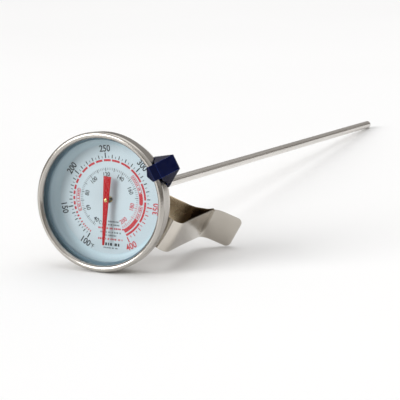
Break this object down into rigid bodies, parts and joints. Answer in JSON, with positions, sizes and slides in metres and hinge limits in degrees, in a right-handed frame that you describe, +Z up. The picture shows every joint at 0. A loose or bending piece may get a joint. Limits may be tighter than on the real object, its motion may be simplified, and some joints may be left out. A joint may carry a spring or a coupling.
{
  "type": "dial thermometer",
  "caption": "Dial thermometer on a long pointed steel probe, with a sprung pan clip that slides on the probe and a set-point marker that turns on the rim.",
  "frame": {"origin": "centre of the object's box, on the surface it lies on", "axes": "+Z up, +Y along the probe from the dial towards the tip, +X to the dial's 3 o'clock side"},
  "size_m": [0.0566, 0.3162, 0.0487],
  "materials": {
    "case_steel": "satin stainless",
    "bezel_steel": "polished stainless",
    "lens": "clear",
    "gasket": "matte",
    "inner_steel": "plain stainless",
    "dial": "printed, satin",
    "stem_steel": "satin stainless",
    "brass": "turned",
    "bimetal": "rolled strip",
    "pointer": "gloss red",
    "marker": "glossy dark blue",
    "clip_steel": "bright stainless spring strip"
  },
  "bodies": {
    "head": {"case_cup": "case_steel", "stem_collar": "case_steel", "bezel_ring": "bezel_steel", "lens": "lens", "lens_gasket": "gasket", "spacer_ring": "inner_steel", "dial_plate": "dial", "dial_seat_ring": "inner_steel", "stem_tube": "stem_steel", "stem_tip": "stem_steel", "shaft_bush_front": "brass", "shaft_bush_middle": "brass", "shaft_bush_rear": "brass", "coil_anchor": "inner_steel", "bimetal_coil": "bimetal"},
    "movement": {"pointer_shaft": "inner_steel", "coil_collar": "brass", "pointer_hub": "brass", "pointer": "pointer"},
    "marker": {"rim_marker": "marker"},
    "clip": {"clip_frame": "clip_steel"},
    "jaw": {"clip_jaw": "clip_steel"}
  },
  "joints": [
    {"name": "pointer_turn", "type": "hinge", "parent": "head", "child": "movement", "pos_m": [-0.00398, -0.15095, 0.02418], "axis": [0, 0.9973, -0.073], "range_deg": [-37, 326], "stiffness_Nm_per_rad": 0.0005},
    {"name": "marker_turn", "type": "hinge", "parent": "head", "child": "marker", "pos_m": [-0.00398, -0.15534, 0.0245], "axis": [0, 0.9973, -0.073], "continuous": true},
    {"name": "clip_slide", "type": "slide", "parent": "head", "child": "clip", "axis": [0, 0.9973, -0.073], "range_m": [0, 0.24]},
    {"name": "jaw_flex", "type": "hinge", "parent": "clip", "child": "jaw", "pos_m": [-0.01085, -0.14211, 0.02723], "axis": [0.4726, 0.0643, 0.879], "range_deg": [0, 6], "stiffness_Nm_per_rad": 0.5, "springref_deg": -5.73}
  ]
}
